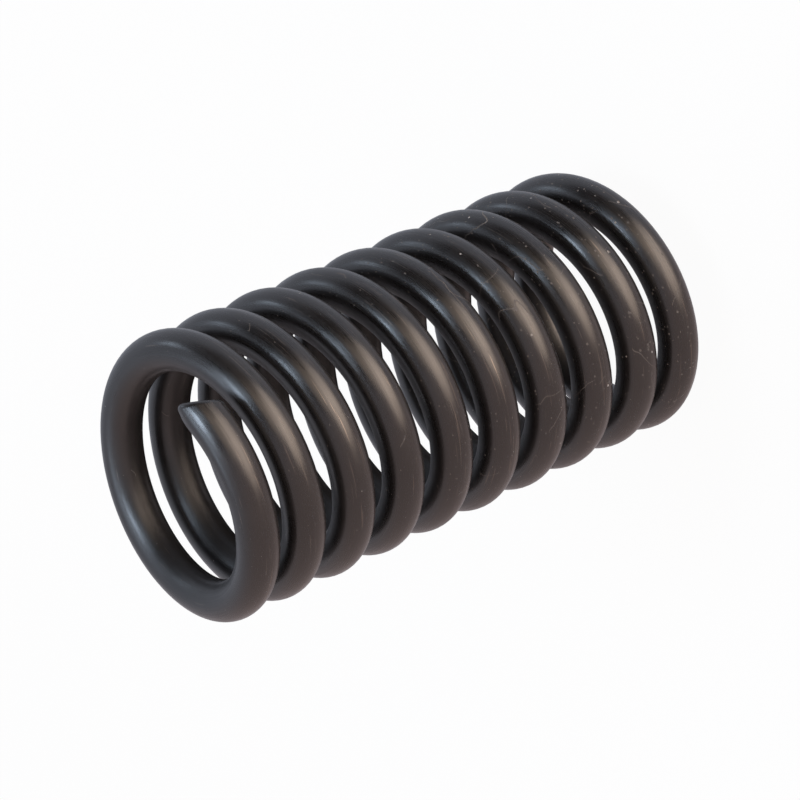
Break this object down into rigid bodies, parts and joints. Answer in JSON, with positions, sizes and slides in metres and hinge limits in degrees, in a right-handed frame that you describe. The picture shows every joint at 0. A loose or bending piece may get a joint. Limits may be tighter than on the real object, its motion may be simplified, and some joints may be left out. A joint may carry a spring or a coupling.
{
  "type": "antivibration spring",
  "caption": "Open-coiled compression spring of round black wire with plain sheared ends, used as a vibration mount between a machine and its handle.",
  "frame": {"origin": "on the coil's axis, level with the underside of the lowest turn", "axes": "+Z along the coil's axis, upwards when the spring stands on end; the lower wire end lies on +X"},
  "size_m": [0.0208, 0.0208, 0.0457],
  "materials": {
    "black_spring_steel": "satin black coating over drawn wire, with faint lengthwise drawing lines"
  },
  "bodies": {
    "root": {"coil_spring": "black_spring_steel"}
  },
  "joints": []
}
